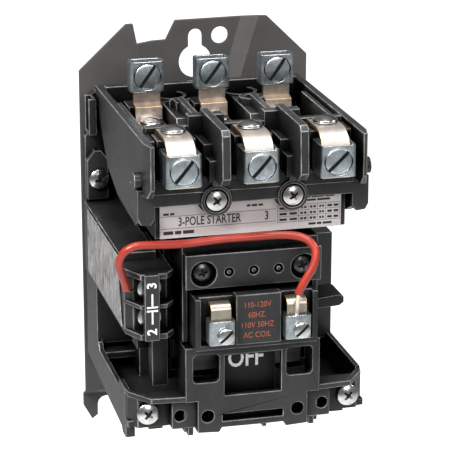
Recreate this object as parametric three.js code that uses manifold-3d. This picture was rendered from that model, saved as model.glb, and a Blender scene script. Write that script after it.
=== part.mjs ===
// Open three-pole magnetic motor starter: a vertical-lift contactor on a sheet steel mounting plate.
// Millimetres. +X right, +Y into the panel, +Z up. The origin is on the back face of the plate's tongue,
// on the centreline, just below the keyhole.
import * as THREE from "three";
import { ConvexGeometry } from "three/addons/geometries/ConvexGeometry.js";
import { mergeVertices } from "three/addons/utils/BufferGeometryUtils.js";
import Module from "manifold-3d";

const wasm = await Module();
wasm.setup();

// ---- driving dimensions -------------------------------------------------------------------------
const GAP = 0.3; // clearance between neighbouring pieces
const SHEET = 1.6; // thickness of the mounting plate
const PLATE_HALF = 43.2; // half width of the mounting plate
const PAN_FRONT = -6.6; // front face of the raised pan of the plate
const POLE_FRONT = 26.4; // pitch of the load (front) terminals
const POLE_REAR = 23.9; // pitch of the line (rear) terminals
const BARRIER_X = 13.3; // centre of the barriers between the poles
const BARRIER_TOP = 11.2;
const BLOCK_HALF = 38.5; // half width over the side walls of the contact block
const BLOCK_TOP = 5.5;
const DECK_TOP = -8; // floor of the terminal pockets
const CHAMBER_TOP = -10.4; // underside of that floor
const TIER_FRONT = -93.4; // front face of the lower tier of the contact block
const TIER_TOP = -12.9;
const PLATE_FACE = -88.5; // face that carries the nameplate
const SKIRT_BOTTOM = -30;
const SKIRT_HALF = 33.4;
const LUG_WIDTH = 12.4; // terminal lugs, seen from the front
const LUG_HEIGHT = 11;
const LUG_WALL = 0.9;
const LUG_SCREW_R = 4.6;
const LUG_SCREW_HEAD = 1.5;
const LUG_Y = -103; // front face of the load lugs
const LUG_Z = -3;
const LINE_LUG_Y = -35.3; // front face of the line lugs
const LINE_LUG_Z = 13.1;
const LUG_DEPTH = 11.5;
const LINE_LUG_DEPTH = 6.4;
const FOIL = 0.25;
const STRAP_T = 1.2;
const STRAP_WIDTH = 9.8;
const COIL_LUG_X = 13.3;
const COIL_LUG_Y = -102.5;
const COIL_LUG_Z = -60.7;
const COIL_SCREW = [1, -61.6]; // x beside the middle of its lug, and z
const HOUSING_HALF = 24; // half width of the central housing and its panels
const TRAY_HALF = 42.8; // half width of the base tray
const LIFT = 5.5; // travel of the contact carrier
const CONTACT_Z = -12.2; // underside of the fixed contacts
const ARM_X = 24.4; // inner face of the carrier's side arms
const ARM_T = 2.5;
const CARRIER_Y = [-72, -60];
const AUX_LEFT = -43.3;
const AUX_RIGHT = -27.3;
const AUX_Z = [-64.5, -41];
const AUX_SCREW_X = -35.2;
const FLANGE_SCREW = [38.1, -29.3]; // x and z
const FOOT_SCREW = [36.1, -93.7];
const WIRE_R = 1.4; // over the insulation
const BARE_R = 0.65;

// ---- shape helpers ------------------------------------------------------------------------------
const MERGE = 1e-4;

function solidOf(geometry) {
  const bare = geometry.index ? geometry.toNonIndexed() : geometry.clone();
  bare.deleteAttribute("normal");
  bare.deleteAttribute("uv");
  const merged = mergeVertices(bare, MERGE);
  const vertProperties = new Float32Array(merged.attributes.position.array);
  const triVerts = new Uint32Array(merged.index.array);
  return new wasm.Manifold(new wasm.Mesh({ numProp: 3, vertProperties, triVerts }));
}

const X = new THREE.Vector3(1, 0, 0);
const Y = new THREE.Vector3(0, 1, 0);
const Z = new THREE.Vector3(0, 0, 1);

// Extrudes an outline along one axis. The outline lies in (y, z) for "x", (x, z) for "y", (x, y) for "z".
function prism(axis, outline, from, to, curveSegments = 3) {
  const isShape = outline instanceof THREE.Shape;
  const shape = isShape ? outline : new THREE.Shape(outline.map((p) => new THREE.Vector2(...p)));
  const depth = to - from;
  const geometry = new THREE.ExtrudeGeometry(shape, { depth, bevelEnabled: false, curveSegments });
  const turn = new THREE.Matrix4();
  if (axis === "x") turn.makeBasis(Y, Z, X).setPosition(from, 0, 0);
  if (axis === "y") turn.makeBasis(X, Z, Y.clone().negate()).setPosition(0, to, 0);
  if (axis === "z") turn.setPosition(0, 0, from);
  return solidOf(geometry.applyMatrix4(turn));
}

function box(x0, x1, y0, y1, z0, z1) {
  const geometry = new THREE.BoxGeometry(x1 - x0, y1 - y0, z1 - z0);
  return solidOf(geometry.translate((x0 + x1) / 2, (y0 + y1) / 2, (z0 + z1) / 2));
}

// A round bar along an axis; u and v are its centre in the outline plane of prism().
function rod(axis, u, v, radius, from, to, sides = 20) {
  const circle = new THREE.Shape();
  circle.absarc(u, v, radius, 0, Math.PI * 2, false);
  return prism(axis, circle, from, to, sides / 2);
}

function hull(points) {
  return solidOf(new ConvexGeometry(points.map((p) => new THREE.Vector3(...p))));
}

const join = (...solids) => solids.flat().reduce((sum, next) => sum.add(next));
const cut = (base, ...tools) => tools.flat().reduce((rest, tool) => rest.subtract(tool), base);

// The same solid mirrored in the plane x = 0.
function mirror(solid) {
  const mesh = solid.getMesh();
  const vertProperties = Float32Array.from(mesh.vertProperties);
  for (let i = 0; i < vertProperties.length; i += 3) vertProperties[i] *= -1;
  const triVerts = Uint32Array.from(mesh.triVerts);
  for (let i = 0; i < triVerts.length; i += 3) {
    [triVerts[i + 1], triVerts[i + 2]] = [triVerts[i + 2], triVerts[i + 1]];
  }
  return new wasm.Manifold(new wasm.Mesh({ numProp: 3, vertProperties, triVerts }));
}

const both = (solid) => join(solid, mirror(solid));

// ---- materials ----------------------------------------------------------------------------------
function paint(color, roughness, metalness) {
  return new THREE.MeshStandardMaterial({ color, roughness, metalness });
}

const plateGrey = paint(0x4b4846, 0.6, 0.3);
const phenolic = paint(0x2a2a2b, 0.5, 0);
const carrierBlack = paint(0x1d1d1e, 0.55, 0);
const zinc = paint(0xaab2b6, 0.35, 0.9);
const tinned = paint(0xd9cfbf, 0.4, 0.8);
const bronze = paint(0x8f7a62, 0.4, 0.8);
const silver = paint(0xc9c9c4, 0.35, 0.9);
const steel = paint(0x8d9092, 0.4, 0.9);
const coilResin = paint(0x2c2b2b, 0.55, 0);
const foil = paint(0xd0c8c6, 0.4, 0.3);
const redJacket = paint(0xc23a2c, 0.45, 0);

const starter = new THREE.Group();

function add(name, solid, material) {
  const made = solid.getMesh();
  const geometry = new THREE.BufferGeometry();
  geometry.setAttribute("position", new THREE.BufferAttribute(Float32Array.from(made.vertProperties), 3));
  geometry.setIndex(new THREE.BufferAttribute(Uint32Array.from(made.triVerts), 1));
  const mesh = new THREE.Mesh(geometry.toNonIndexed(), material);
  mesh.geometry.computeVertexNormals();
  mesh.name = name;
  starter.add(mesh);
}

// ---- mounting plate -----------------------------------------------------------------------------
function mountingPlate() {
  const back = PAN_FRONT + SHEET;
  const creaseZ = -116;
  const legTop = -119;
  // Fold lines of the recess in the pan: [x, z] at its top and at its bottom.
  const recessBottom = -14;
  const panLeft = [[-21.5, 18.6], [-11, recessBottom]];
  const panRight = [[24.4, 26.9], [12, recessBottom]];
  const tongueLeft = [[-15, 18.3], [-6, recessBottom]];
  const tongueRight = [[18.9, 25.9], [7.5, recessBottom]];
  const pan = prism("y", [
    [-PLATE_HALF, creaseZ], [PLATE_HALF, creaseZ], [PLATE_HALF, 11.6], [27.8, 26.7], panRight[0], panRight[1],
    panLeft[1], panLeft[0], [-23, 26.2], [-25.6, 26.1], [-PLATE_HALF, 9.7],
  ], PAN_FRONT, back);
  const tongue = prism("y", [
    tongueLeft[1], tongueRight[1], tongueRight[0], [-6, 25.6], [-9.6, 18.5], tongueLeft[0],
  ], -SHEET, 0);
  const strip = (pairs) => hull(pairs.flatMap(([panPoint, tonguePoint]) => [
    [panPoint[0], PAN_FRONT, panPoint[1]], [panPoint[0], back, panPoint[1]],
    [tonguePoint[0], -SHEET, tonguePoint[1]], [tonguePoint[0], 0, tonguePoint[1]],
  ]));
  const strips = [
    strip([[panLeft[0], tongueLeft[0]], [panLeft[1], tongueLeft[1]]]),
    strip([[panRight[0], tongueRight[0]], [panRight[1], tongueRight[1]]]),
    strip([[panLeft[1], tongueLeft[1]], [panRight[1], tongueRight[1]]]),
  ];
  const step = hull([-PLATE_HALF, PLATE_HALF].flatMap((x) => [
    [x, PAN_FRONT, creaseZ], [x, back, creaseZ], [x, -SHEET, legTop], [x, 0, legTop],
  ]));
  const slotX = 34.4;
  const slotR = 3.3;
  const leg = new THREE.Shape();
  leg.moveTo(-PLATE_HALF, legTop);
  leg.lineTo(-PLATE_HALF, -123.7);
  leg.lineTo(-40, -129.6);
  leg.lineTo(-slotX - slotR, -128);
  leg.absarc(-slotX, -123.7, slotR, Math.PI, 0, true);
  leg.lineTo(-slotX + slotR, -127);
  leg.lineTo(-28, -129.6);
  leg.lineTo(-22, -129.6);
  leg.lineTo(-17, -123.7);
  leg.lineTo(0, -123.7);
  leg.lineTo(0, legTop);
  const keyholeX = 1.6;
  const keyholeR = 2.7;
  const keyholeTop = 19.4;
  const slot = box(keyholeX - keyholeR, keyholeX + keyholeR, -3, 1, 9, keyholeTop);
  const legs = both(prism("y", leg, -SHEET, 0));
  return cut(join(pan, tongue, strips, step, legs),
    slot,
    rod("y", keyholeX, keyholeTop, keyholeR, -3, 1, 16),
    rod("y", keyholeX, 9.8, 6.3, -3, 1, 24),
    rod("y", 11, 19.2, 3.3, -3, 1, 16),
    [-1, 1].map((side) => rod("y", side * FLANGE_SCREW[0], FLANGE_SCREW[1], 2.3, -8, -3, 12)),
  );
}

// ---- base housing -------------------------------------------------------------------------------
function baseHousing() {
  const flangeHalf = 42.4;
  const flangeFront = -10.9;
  const flangeBack = PAN_FRONT - GAP;
  const flange = prism("y", [
    [-flangeHalf, -98], [flangeHalf, -98], [flangeHalf, -14], [41, -12], [41, 1], [38, 3],
    [-38, 3], [-41, 1], [-41, -12], [-flangeHalf, -14],
  ], flangeFront, flangeBack);
  const joint = flangeFront + 0.1;
  const rearBody = box(-30, 30, -44, joint, -97, -28.2);
  const rightColumn = box(29.9, TRAY_HALF, -44, joint, -88, -47);
  const leftShelf = join(
    box(-TRAY_HALF, -29.9, -30, joint, -88, AUX_Z[0] - GAP),
    box(-TRAY_HALF, -29.9, -36, -29.9, -92, -89.5),
  );
  const rearEar = both(cut(box(39.4, 42.3, -19, joint, -11.5, 2), box(40.4, 42.6, -17.5, -12, -10.5, 4)));
  const screwPad = both(prism("y", [
    [34.5, -37.3], [42.3, -37.3], [42.3, -22.3], [39.6, -18.8], [37, -18.8], [34.5, -22.3],
  ], -14, joint));

  // Central housing around the magnet: two cheeks, a roof and the bar that takes the cover screws.
  const cheeks = both(box(22.2, HOUSING_HALF, -88, -43.9, -68, -33));
  const roof = box(-HOUSING_HALF, HOUSING_HALF, -88, -43.9, -35, -33);
  const clampBar = box(-HOUSING_HALF, HOUSING_HALF, -88, -82, -48.5, -33);
  const screwPosts = both(box(BARRIER_X - 4, BARRIER_X + 4, -83.6, -78, -33.1, -13.5));

  // Tray: floor, side walls and the bevelled front corners with a projecting rim.
  const floor = prism("x", [[-10, -96], [-10, -98.4], [-84, -99.4], [-84, -97]], -TRAY_HALF, TRAY_HALF);
  const leftTop = -86.6;
  const leftDip = leftTop - 2.6;
  const leftWall = prism("x", [
    [-10, -98.4], [-10, leftTop], [-32, leftTop], [-34, leftDip], [-68, leftDip], [-70, leftTop],
    [-79.5, leftTop], [-79.5, -104.6], [-75, -104.6], [-73, -102.9], [-51, -101.7],
  ], -TRAY_HALF, -TRAY_HALF + 1.8);
  const rightOutline = [[-10, -99], [-10, -86], [-79.5, -86], [-79.5, -99.4]];
  const rightWall = prism("x", rightOutline, TRAY_HALF - 1.8, TRAY_HALF);
  const rim = both(prism("z", [
    [TRAY_HALF, -79.4], [42.1, -82.7], [35.8, -91.3], [HOUSING_HALF - 0.1, -92.3],
    [HOUSING_HALF - 0.1, -90.2], [34.8, -89.2], [40.4, -81.8], [41.2, -79.4],
  ], -88.5, -86.6));
  const corner = both(prism("z", [
    [TRAY_HALF, -79.4], [42.3, -82], [39.5, -85.8], [28, -85.8], [28, -83.4], [38.4, -83.4], [41.2, -79.4],
  ], -99.3, -87.6));
  const cornerTop = both(prism("z", [
    [TRAY_HALF, -79.4], [42.1, -82.7], [35.8, -91.3], [HOUSING_HALF - 0.1, -92.3],
    [HOUSING_HALF - 0.1, -83.4], [38.4, -83.4], [41.2, -79.4],
  ], -88.2, -87));
  const leftFoot = box(-TRAY_HALF, -39.4, -80.5, -75, -104.6, -98);
  const innerFoot = both(box(30.2, 35.4, -84, -80, -100.8, -97));
  const boss = both(cut(box(21.2, 28.4, -90.3, -82, -99, -88.4), rod("y", 25.5, -94.2, 2.1, -91, -85, 16)));

  // Lower front panel with its windows and the stepped band below them.
  const panelBack = -89.8;
  const windowHole = box(-10.1, 10.1, -95, -88, -87.4, -72.5);
  const softCorner = 1.6;
  const [windowLeft, windowRight] = [12 + softCorner, 21.3 - softCorner];
  const [windowLow, windowHigh] = [-82 + softCorner, -71.8 - softCorner];
  const sideWindow = new THREE.Shape();
  sideWindow.absarc(windowLeft, windowLow, softCorner, Math.PI, Math.PI * 1.5, false);
  sideWindow.absarc(windowRight, windowLow, softCorner, Math.PI * 1.5, Math.PI * 2, false);
  sideWindow.absarc(windowRight, windowHigh, softCorner, 0, Math.PI / 2, false);
  sideWindow.absarc(windowLeft, windowHigh, softCorner, Math.PI / 2, Math.PI, false);
  const panel = cut(
    join(
      box(-HOUSING_HALF, HOUSING_HALF, -92.3, panelBack, -88.8, -69),
      box(-19.7, 19.7, -92.3, -87.2, -99.2, -88.7),
      box(-22, 22, -90.3, -87.2, -99, -88.7),
      both(prism("y", [[19.7, -99.1], [19.7, -100.5], [12, -100.9], [10.9, -99.1]], -92.3, -87.2)),
      both(box(20.7, 22.7, -90.2, -86, -102, -98.9)),
      box(3.4, 5, -92.2, -89, -100.4, -99.1),
    ),
    windowHole,
    both(prism("y", sideWindow, -95, -88)),
    both(rod("y", 16.1, -94.6, 2.25, -95, -88, 16)),
    box(-10.8, 10.8, -95, -89, -96.9, -94.3),
  );
  const cheekFeet = both(box(22.2, HOUSING_HALF, -89.9, -80, -100.7, -69));
  const screwHoles = [
    rod("y", ...FLANGE_SCREW, 2.3, -15, -6, 12),
    rod("y", 17.6, -42.3, 2, -89, -81, 12),
    rod("y", BARRIER_X, -16.3, 2.1, -85, -77, 12),
    rod("y", ...FOOT_SCREW, 2.2, -87, -83, 12),
  ];
  return cut(
    join(flange, rearBody, rightColumn, leftShelf, rearEar, screwPad, cheeks, roof, clampBar, screwPosts, floor,
      leftWall, rightWall, rim, corner, cornerTop, leftFoot, innerFoot, boss, panel, cheekFeet),
    screwHoles, screwHoles.map(mirror),
  );
}

// ---- contact block ------------------------------------------------------------------------------
function contactBlock() {
  const sideProfile = [
    [-15, BLOCK_TOP], [-100.5, BLOCK_TOP], [-100.5, -9.5], [-97.5, TIER_TOP], [TIER_FRONT, TIER_TOP],
    [TIER_FRONT, -21], [-80.6, -27], [-51, -25], [-33, -19], [-15, -0.3],
  ];
  const wallInner = BLOCK_HALF - 2.7;
  const wallPlan = [
    [wallInner, -12], [BLOCK_HALF, -12], [BLOCK_HALF, -95], [37.2, -100.6], [wallInner, -100.6],
  ];
  const sideWall = both(prism("x", sideProfile, wallInner, BLOCK_HALF).intersect(prism("z", wallPlan, -40, 20)));
  const tierEnd = both(join(
    box(34.4, 40.2, TIER_FRONT, -80.6, -21.5, -11.2),
    prism("y", [[34.4, -21.4], [40.2, -21.4], [39.2, -23.3], [35.8, -23.7]], TIER_FRONT, -80.6),
    rod("x", -90.5, -8.4, 2.9, 37, 41.2, 12),
  ));
  const tier = box(-39, 39, TIER_FRONT, -84, -17.4, TIER_TOP);
  const deck = box(-wallInner - 0.1, wallInner + 0.1, TIER_FRONT + 0.1, -15, TIER_TOP, DECK_TOP);
  const skirtInner = SKIRT_HALF - 2.2;
  const skirt = cut(
    box(-SKIRT_HALF, SKIRT_HALF, PLATE_FACE, -44.6, SKIRT_BOTTOM, TIER_TOP + 0.1),
    box(-skirtInner, skirtInner, -86.2, -40, SKIRT_BOTTOM - 1, TIER_TOP + 1),
  );
  const bosses = both(rod("y", BARRIER_X, -16.3, 5.4, -94.2, -86.3, 24));
  const rearWall = join(
    box(-BLOCK_HALF, BLOCK_HALF, -15.5, -12, -0.3, BLOCK_TOP),
    box(-wallInner - 0.1, wallInner + 0.1, -18.5, -15.4, DECK_TOP - 1, BLOCK_TOP + 0.6),
    box(-wallInner - 0.1, wallInner + 0.1, -15.5, -15, TIER_TOP, 0),
  );
  const ledgeSlots = [-1, 0, 1].map((pole) => (
    box(pole * POLE_REAR - 4.5, pole * POLE_REAR + 4.5, -17.6, -16.2, -7.9, 8)
  ));

  // Barriers between the poles, with a small cross piece at the back end and a screw well behind.
  const barrier = prism("x", [
    [-76, BARRIER_TOP], [-105.6, BARRIER_TOP], [-107.2, 9.4], [-108, -5.2], [-105, -8], [-95, -8.4],
    [TIER_FRONT, TIER_TOP], [-76, TIER_TOP],
  ], BARRIER_X - 1.45, BARRIER_X + 1.45);
  const crossPiece = join(
    box(BARRIER_X + 1.4, BARRIER_X + 6.3, -79.5, -75.5, DECK_TOP - 1, 9.8),
    box(BARRIER_X - 6.3, BARRIER_X - 1.4, -79.5, -75.5, DECK_TOP - 1, 9.8),
  );
  const lugGuides = join(
    box(BARRIER_X + 1.4, BARRIER_X + 4, -92, -79, DECK_TOP - 1, 3),
    box(BARRIER_X - 4, BARRIER_X - 1.4, -92, -79, DECK_TOP - 1, 3),
    box(BARRIER_X - 3.4, BARRIER_X + 3.4, -98, -91.9, -8.6, -1.2),
  );
  const spine = box(BARRIER_X - 1.2, BARRIER_X + 1.2, -76, -40, DECK_TOP - 1, 6.2);
  const towerOutline = [[-62, DECK_TOP - 1], [-54, 2.4], [-18, 2.4], [-18, DECK_TOP - 1]];
  const tower = cut(
    join(
      prism("x", towerOutline, BARRIER_X - 4.6, BARRIER_X + 4.6),
      rod("z", BARRIER_X, -22, 6.4, DECK_TOP - 1, 3, 24),
    ),
    rod("z", BARRIER_X, -22, 5.2, DECK_TOP + 1, 6, 24),
  );
  const barrierGroup = both(join(barrier, crossPiece, lugGuides, spine, tower));
  const tubeBoss = cut(
    rod("z", BARRIER_X, -39, 4.6, DECK_TOP - 1, 5, 20),
    rod("z", BARRIER_X, -39, 2.3, -4, 6, 16),
  );
  const leftPost = join(
    box(-BARRIER_X - 2.2, -BARRIER_X + 2.2, -44, -39, DECK_TOP - 1, 5.4),
    prism("x", [[-39.2, 2], [-39.2, 5.4], [-29.5, 2]], -BARRIER_X + 2, -BARRIER_X + 3.6),
    prism("x", [[-39.2, 2], [-39.2, 5.4], [-29.5, 2]], -BARRIER_X - 3.6, -BARRIER_X - 2),
  );

  // Each pole: a seat under each strap and a low wall between the two seats.
  const poles = [-1, 0, 1].map((pole) => {
    const front = pole * POLE_FRONT;
    const rear = pole * POLE_REAR;
    return join(
      box(front - 6.6, front + 6.6, -91.2, -82, DECK_TOP - 1, 5),
      box(front - 8, front + 8, -79.2, -76, DECK_TOP - 1, 6.4),
      box(rear - 6.6, rear + 6.6, -46.6, -37.6, DECK_TOP - 1, -4),
      box(rear - 6.2, rear + 6.2, -31.6, -22, DECK_TOP - 1, 1.5),
      box((front + rear) / 2 - 7.4, (front + rear) / 2 + 7.4, -64, -60, DECK_TOP - 1, 0.5),
    );
  });
  const seatHoles = [-1, 0, 1].flatMap((pole) => [
    rod("z", pole * POLE_FRONT, -86.6, 2.3, -3, 6, 12),
    rod("z", pole * POLE_REAR, -42, 2.3, -9, -3, 12),
    box(pole * POLE_FRONT - 6, pole * POLE_FRONT + 6, -81.4, -79.5, -14, 7),
    box(pole * POLE_REAR - 6, pole * POLE_REAR + 6, -48.6, -46.7, -14, 0),
  ]);
  const rails = both(box(33.2, 35, -89, -34, DECK_TOP - 1, 4.2));
  const lugPockets = [-1, 0, 1].map((pole) => {
    const x = pole * POLE_FRONT;
    const half = LUG_WIDTH / 2 + GAP;
    return box(x - half, x + half, -95, -91.1, LUG_Z - LUG_HEIGHT / 2 - GAP, 0);
  });
  const chamber = box(-skirtInner - 0.6, skirtInner + 0.6, -86.1, -18.6, -40, CHAMBER_TOP);
  const screwHole = both(rod("y", BARRIER_X, -16.3, 2.1, -96, -83, 12));
  const screwRecess = both(rod("y", BARRIER_X, -16.3, 4.1, -96, -92.9, 20));
  return cut(
    join(sideWall, tierEnd, tier, cut(deck, chamber), skirt, bosses, rearWall, cut(barrierGroup, chamber),
      tubeBoss, leftPost, poles.map((pole) => cut(pole, chamber)), rails),
    seatHoles, ledgeSlots, lugPockets, screwHole, screwRecess,
  );
}

// ---- current path -------------------------------------------------------------------------------
// A terminal lug: an upright box tube with a threaded hole for the screw in its front wall.
function lugCage(x, y, z, width, height, depth, hole) {
  const inner = width / 2 - LUG_WALL;
  return cut(
    box(x - width / 2, x + width / 2, y, y + depth, z - height / 2, z + height / 2),
    box(x - inner, x + inner, y + LUG_WALL, y + depth - LUG_WALL, z - height, z + height),
    rod("y", hole.x, hole.z, hole.r, y - 1, y + LUG_WALL + 1, 20),
  );
}

// A cheese-head screw along Y with its slot turned to an angle.
function slottedScrew(x, y, z, headR, headT, shankR, length, slotAngle) {
  const screw = join(
    rod("y", x, z, headR, y - headT, y, 24),
    rod("y", x, z, shankR, y - 0.1, y + length, 12),
  );
  const slot = box(-headR - 1, headR + 1, y - headT - 1, y - headT * 0.45, -0.6, 0.6);
  return cut(screw, slot.rotate(0, slotAngle, 0).translate(x, 0, z));
}

// A pan-head screw along Z, slotted across its head.
function strapScrew(x, y, z, length) {
  const head = new THREE.LatheGeometry([
    [0, -length], [1.9, -length], [1.9, 0], [4.3, 0], [4.3, 0.9], [3.2, 1.9], [0, 2.2],
  ].map((p) => new THREE.Vector2(...p)), 20);
  const screw = solidOf(head.rotateX(Math.PI / 2)).translate(x, y, z);
  return cut(screw, box(-6, 6, -0.6, 0.6, 1.2, 4).rotate(0, 0, -40).translate(x, y, z));
}

// A cross-recessed screw along Y with a domed head.
function crossScrew(x, y, z, headR, headT, shankR, length) {
  const outline = [
    [0, -length], [shankR, -length], [shankR, 0], [headR, 0], [headR, headT * 0.35],
    [headR * 0.72, headT * 0.85], [0, headT],
  ];
  const lathe = new THREE.LatheGeometry(outline.map((p) => new THREE.Vector2(...p)), 20);
  const screw = solidOf(lathe.rotateZ(Math.PI)).translate(x, y, z);
  const arm = headR * 0.55;
  const depth = headT * 0.55;
  return cut(screw,
    box(x - arm, x + arm, y - headT - 1, y - headT + depth, z - 0.5, z + 0.5),
    box(x - 0.5, x + 0.5, y - headT - 1, y - headT + depth, z - arm, z + arm),
  );
}

// A bent strip: the centre line in (y, z) is offset to both sides and extruded along X.
function bentStrip(line, x, width, thickness = STRAP_T) {
  const points = line.map((p) => new THREE.Vector2(...p));
  const side = (sign) => points.map((p, i) => {
    const before = points[Math.max(i - 1, 0)];
    const after = points[Math.min(i + 1, points.length - 1)];
    const a = p.clone().sub(before).normalize();
    const b = after.clone().sub(p).normalize();
    const along = a.add(b).normalize();
    const ahead = b.lengthSq() ? b : along;
    const stretch = 1 / Math.max(along.dot(ahead), 0.5);
    return new THREE.Vector2(-along.y, along.x).multiplyScalar(sign * (thickness / 2) * stretch).add(p);
  });
  return prism("x", new THREE.Shape([...side(1), ...side(-1).reverse()]), x - width / 2, x + width / 2);
}

// A quarter bend in (y, z) from one direction to another about a centre.
function bend(y, z, radius, from, to, steps = 4) {
  return Array.from({ length: steps + 1 }, (_, i) => {
    const angle = THREE.MathUtils.degToRad(from + ((to - from) * i) / steps);
    return [y + radius * Math.cos(angle), z + radius * Math.sin(angle)];
  });
}

function loadStrap(x) {
  const line = [
    [-71.5, CONTACT_Z + 0.6], [-80.4, CONTACT_Z + 0.6], ...bend(-82, 4.3, 1.6, 0, 90), [-91.5, 5.9],
    ...bend(-91.5, -3.1, 9, 95, 172, 6), [-100.6, -9.2],
  ];
  return cut(bentStrip(line, x, STRAP_WIDTH),
    rod("z", x, -86.6, 2.3, 0, 9, 12),
    rod("y", x, LUG_Z, 3.1, -103, -98, 14),
  );
}

function lineStrap(x) {
  const line = [
    [-57, CONTACT_Z + 0.6], [-47.6, CONTACT_Z + 0.6], [-47.6, -3.1], [-36.9, -3.1], [-36.5, 2.1], [-33.2, 3],
    [-33.2, LINE_LUG_Z + 5],
  ];
  return cut(bentStrip(line, x, STRAP_WIDTH),
    rod("z", x, -42, 2.3, -6, 0, 12),
    rod("y", x, LINE_LUG_Z, 3.1, -36, -30, 14),
  );
}

function movingContact(x) {
  const top = CONTACT_Z - LIFT - 0.3;
  const bridge = box(x - 4, x + 4, -79.5, -48.8, top - 1.7, top - 0.5);
  const tips = [-76, -52.5].map((y) => rod("z", x, y, 3, top - 0.6, top, 16));
  return join(bridge, tips);
}

class Helix extends THREE.Curve {
  constructor(radius, pitch, turns) {
    super();
    Object.assign(this, { radius, pitch, turns });
  }

  getPoint(t, target = new THREE.Vector3()) {
    const angle = t * this.turns * Math.PI * 2;
    return target.set(this.radius * Math.cos(angle), this.radius * Math.sin(angle), t * this.turns * this.pitch);
  }
}

function tube(path, radius, sides, steps) {
  const section = new THREE.Shape();
  section.absarc(0, 0, radius, 0, Math.PI * 2, false);
  const geometry = new THREE.ExtrudeGeometry(section, { steps, extrudePath: path, curveSegments: sides });
  return solidOf(geometry);
}

// ---- magnet, coil and carrier -------------------------------------------------------------------
function magnetYoke() {
  return cut(
    join(
      box(-21.7, 21.7, -76, -62, -49.4, -38.5),
      box(-5.4, 5.4, -76, -62, -70.2, -49),
      both(box(16.6, 21.7, -76, -62, -70.2, -49)),
    ),
    both(rod("y", 14, -44, 1.6, -80, -60, 10)),
  );
}

function armature() {
  return join(
    box(-21.7, 21.7, -76, -62, -83.6, -78.4),
    box(-5.2, 5.2, -76, -62, -78.5, -76.2),
    both(box(16.8, 21.7, -76, -62, -78.5, -76.2)),
  );
}

function coilBody() {
  const winding = box(-16.2, 16.2, -82, -56, -68, -50);
  const flanges = [box(-16.2, 16.2, -83.1, -54, -68.4, -66.6), box(-16.2, 16.2, -83.1, -54, -51.6, -49.8)];
  const front = box(-21.5, 21.5, -95, -82.9, -68.4, -49.8);
  const label = box(-7.9, 7.9, -99.4, -94.9, -66.5, -48.6);
  const cheeks = both(box(19.6, 21.5, -97.4, -94.9, -68.4, -49.8));
  const sill = box(-21.5, 21.5, -97.4, -94.9, -68.4, -66.5);
  const bore = box(-5.8, 5.8, -76.4, -61.6, -70, -48);
  return cut(join(winding, flanges, front, label, cheeks, sill), bore);
}

function coilStrap(x) {
  const line = [[-95.4, -51.6], [-97.6, -51.6], ...bend(-97.6, -53.7, 2.1, 90, 180, 4), [-99.7, -64.2]];
  return cut(bentStrip(line, x, 7, 0.9), rod("y", x + COIL_SCREW[0], COIL_SCREW[1], 2, -103, -98, 12));
}

function coilCover() {
  const bar = box(-23.9, 23.9, -93, -88.3, -47.6, -35.4);
  const pinHoles = [-8.7, 0, 8.7].map((x) => cut(
    rod("y", x, -42.2, 1.6, -94, -91.6, 16),
    rod("y", x, -42.2, 0.8, -94, -91, 12),
  ));
  const wells = [-17.6, 17.6].flatMap((x) => [
    rod("y", x, -42.3, 4.5, -94, -90, 24),
    rod("y", x, -42.3, 2, -91, -88, 12),
  ]);
  return cut(bar, pinHoles, wells);
}

function contactCarrier() {
  const [front, back] = CARRIER_Y;
  const armOut = ARM_X + ARM_T;
  const arms = both(box(ARM_X, armOut, front, back, -87.6, -22.6));
  const foot = box(-armOut, armOut, front, back, -87.6, -84);
  const crossHead = box(-30.6, 30.6, front, back, -26.6, -22.6);
  const guides = [-1, 0, 1].map((pole) => {
    const x = pole * (POLE_FRONT + POLE_REAR) / 2;
    return box(x - 0.9, x + 0.9, -67, -65, -22.7, -20.9);
  });
  const interlockArm = prism("y", [
    [armOut - 0.1, -63.4], [35, -62.9], [36.6, -61.8], [36.6, -59.6], [35, -58.8], [armOut - 0.1, -59.6],
  ], -79, -66);
  const auxTab = box(-36.4, -armOut + 0.1, -71, -63, -75.6, -72.4);
  const flag = join(
    box(-9.6, 9.6, -86.6, -85, -92, -74.6),
    box(-9.6, 9.6, -85.1, front + 0.1, -92, -88),
    box(-9.6, 9.6, front - 3, front + 0.1, -92, -84.2),
  );
  return join(arms, foot, crossHead, guides, interlockArm, auxTab, flag);
}

// ---- auxiliary contact block --------------------------------------------------------------------
function auxHousing() {
  const [bottom, top] = AUX_Z;
  const outer = [
    [AUX_LEFT, -11.4], [AUX_LEFT, -84], [-39.3, -92.2], [-30.2, -92.4], [AUX_RIGHT, -89], [AUX_RIGHT, -44.4],
    [-30.4, -44.4], [-30.4, -11.4],
  ];
  const core = [
    [AUX_LEFT, -11.4], [AUX_LEFT, -83.4], [-40.6, -86], [-29, -86], [AUX_RIGHT, -84.4], [AUX_RIGHT, -44.4],
    [-30.4, -44.4], [-30.4, -11.4],
  ];
  const levels = [[top - 2, top], [-53.4, -52], [bottom, bottom + 2]];
  const shelves = levels.map(([low, high]) => prism("z", outer, low, high));
  const body = prism("z", core, bottom, top);
  const rearTop = box(AUX_LEFT, -30.4, -76, -11.4, top - 0.1, -38.2);
  const labelRib = box(-38.2, -33, -93.6, -90.6, bottom, top);
  const post = box(-33, AUX_RIGHT, -80, -74, -86.4, bottom + 0.1);
  const terminalHoles = [-47.6, -58].map((z) => rod("y", AUX_SCREW_X, z, 2.2, -90, -78, 12));
  return cut(join(body, rearTop, shelves, labelRib, post),
    terminalHoles,
    box(-35.2, -30, -71, -63.4, bottom - 1, -58),
  );
}

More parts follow.
